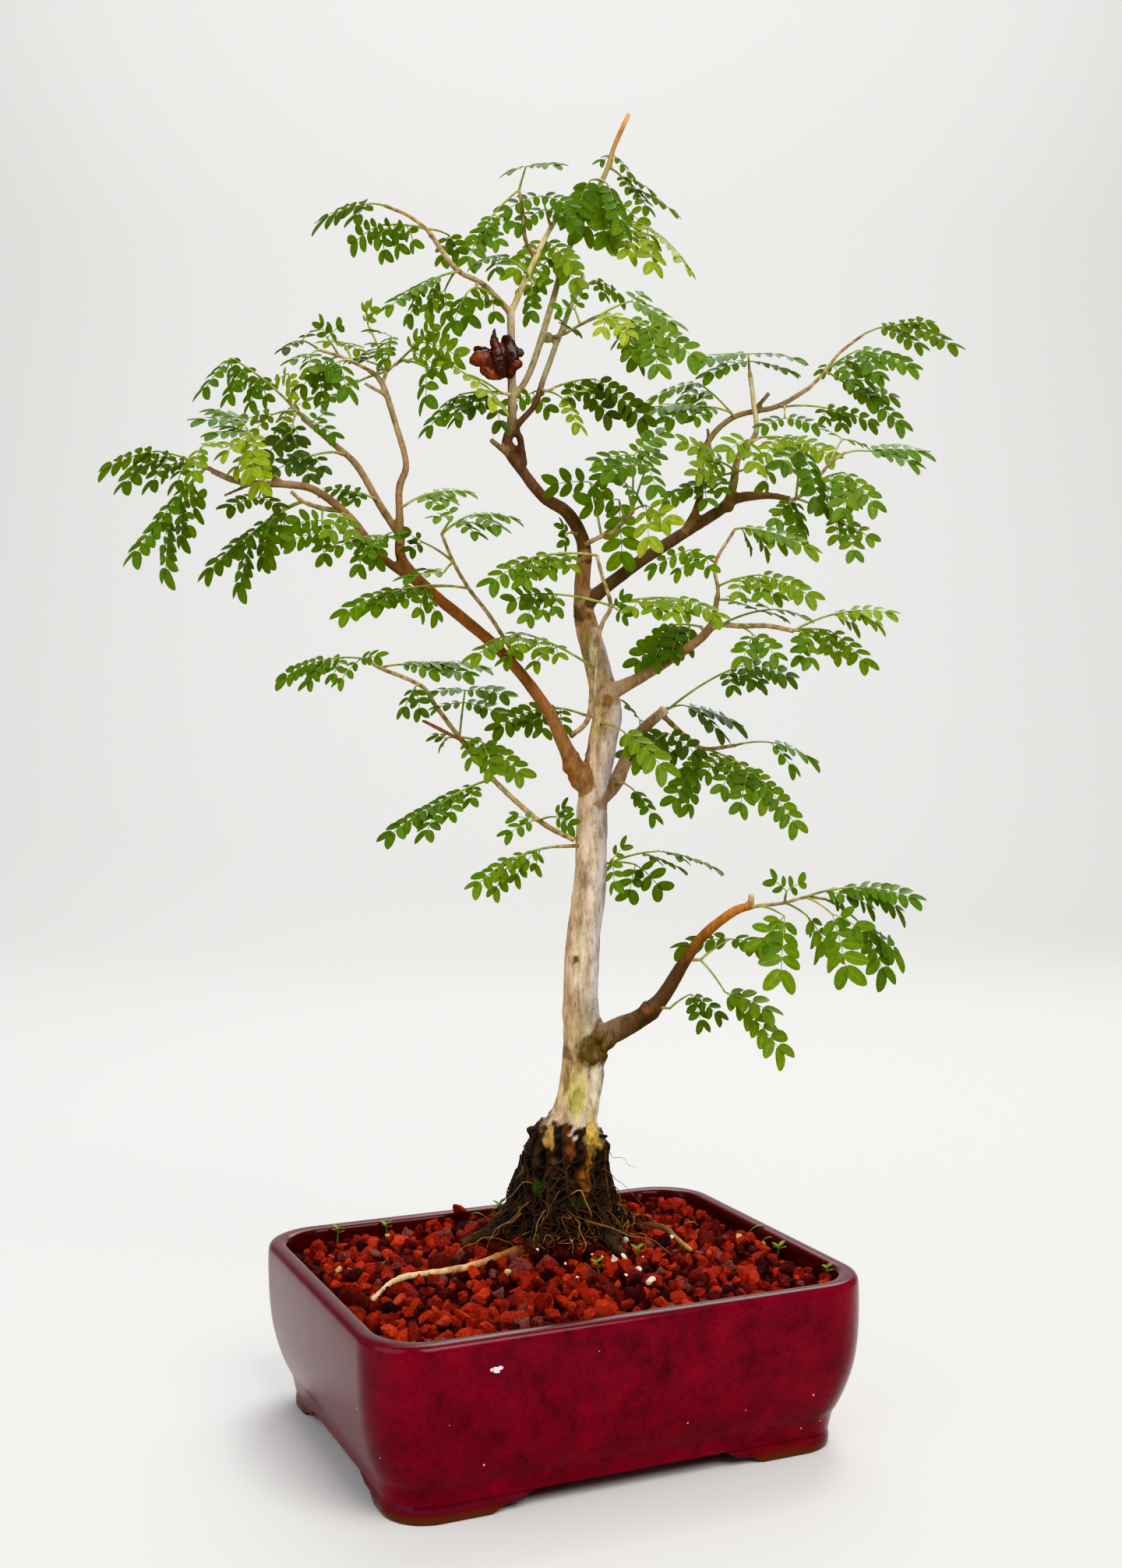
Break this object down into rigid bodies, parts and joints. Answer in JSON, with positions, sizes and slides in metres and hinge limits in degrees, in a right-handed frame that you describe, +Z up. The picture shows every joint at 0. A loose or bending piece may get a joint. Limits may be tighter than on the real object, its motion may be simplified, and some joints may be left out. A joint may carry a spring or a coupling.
{
  "type": "potted bonsai tree",
  "caption": "Bonsai tree with a slim bare lower trunk, spreading limbs and airy twice-feathered leaves, in a glazed rectangular pot with cloud feet, over red grit.",
  "frame": {"origin": "under the middle of the whole, on the surface that the feet stand on", "axes": "+Z up, the pot's long side along X, its two sides seen in the picture at -X and -Y"},
  "size_m": [0.4802, 0.2538, 0.6833],
  "materials": {
    "glaze": "glossy deep red stoneware glaze, browner on the rim and foot edges",
    "lava_grit": "coarse matte red and purple-brown lava grit",
    "bark": "smooth pale grey-tan mottled bark, browner on the limbs",
    "pod": "satin dark red-brown",
    "leaf": "matte fresh green, thin",
    "drain_mesh": "matte dark plastic mesh"
  },
  "bodies": {
    "root": {"pot": "glaze", "foot_front_left": "glaze", "foot_front_right": "glaze", "foot_back_left": "glaze", "foot_back_right": "glaze", "drain_mesh_left": "drain_mesh", "drain_mesh_right": "drain_mesh", "soil": "lava_grit", "trunk": "bark", "seed_pod": "pod", "leaves_left_tip": "leaf", "leaves_left_middle": "leaf", "leaves_left_lower_twig": "leaf", "leaves_left_upper_tip": "leaf", "leaves_left_inner": "leaf", "leaves_left_bright": "leaf", "leaves_left_fork": "leaf", "leaves_left_upper_side": "leaf", "leaves_left_centre": "leaf", "leaves_crown_left_outer": "leaf", "leaves_crown_left_inner": "leaf", "leaves_crown_front": "leaf", "leaves_crown_far_twig": "leaf", "leaves_crown_left_twig": "leaf", "leaves_crown_low_twig": "leaf", "leaves_crown_back_stub": "leaf", "leaves_crown_fork": "leaf", "leaves_crown_umbrella": "leaf", "leaves_crown_left_umbrella": "leaf", "leaves_crown_top_front": "leaf", "leaves_crown_top_back": "leaf", "leaves_crown_right": "leaf", "leaves_crown_cut_tip": "leaf", "leaves_crown_right_low": "leaf", "leaves_heart_top": "leaf", "leaves_heart_twig": "leaf", "leaves_heart_left": "leaf", "leaves_front_twig": "leaf", "leaves_left_front_twig": "leaf", "leaves_behind_left": "leaf", "leaves_lower_left_stem": "leaf", "leaves_lower_left_leaf": "leaf", "leaves_right_upright_stem": "leaf", "leaves_right_limb_left": "leaf", "leaves_right_limb_end": "leaf", "leaves_behind_right_top": "leaf", "leaves_behind_right": "leaf", "leaves_behind_heart": "leaf", "leaves_trunk_front": "leaf", "leaves_trunk_young_leaf": "leaf", "leaves_trunk_low_right": "leaf", "leaves_low_limb_leaf": "leaf", "leaves_low_limb_middle": "leaf", "leaves_low_limb_end": "leaf", "leaves_right_shoot": "leaf", "leaves_right_heart": "leaf", "leaves_right_far_stem": "leaf", "leaves_right_upper": "leaf", "leaves_right_crown": "leaf", "leaves_right_upper_left": "leaf"}
  },
  "joints": []
}
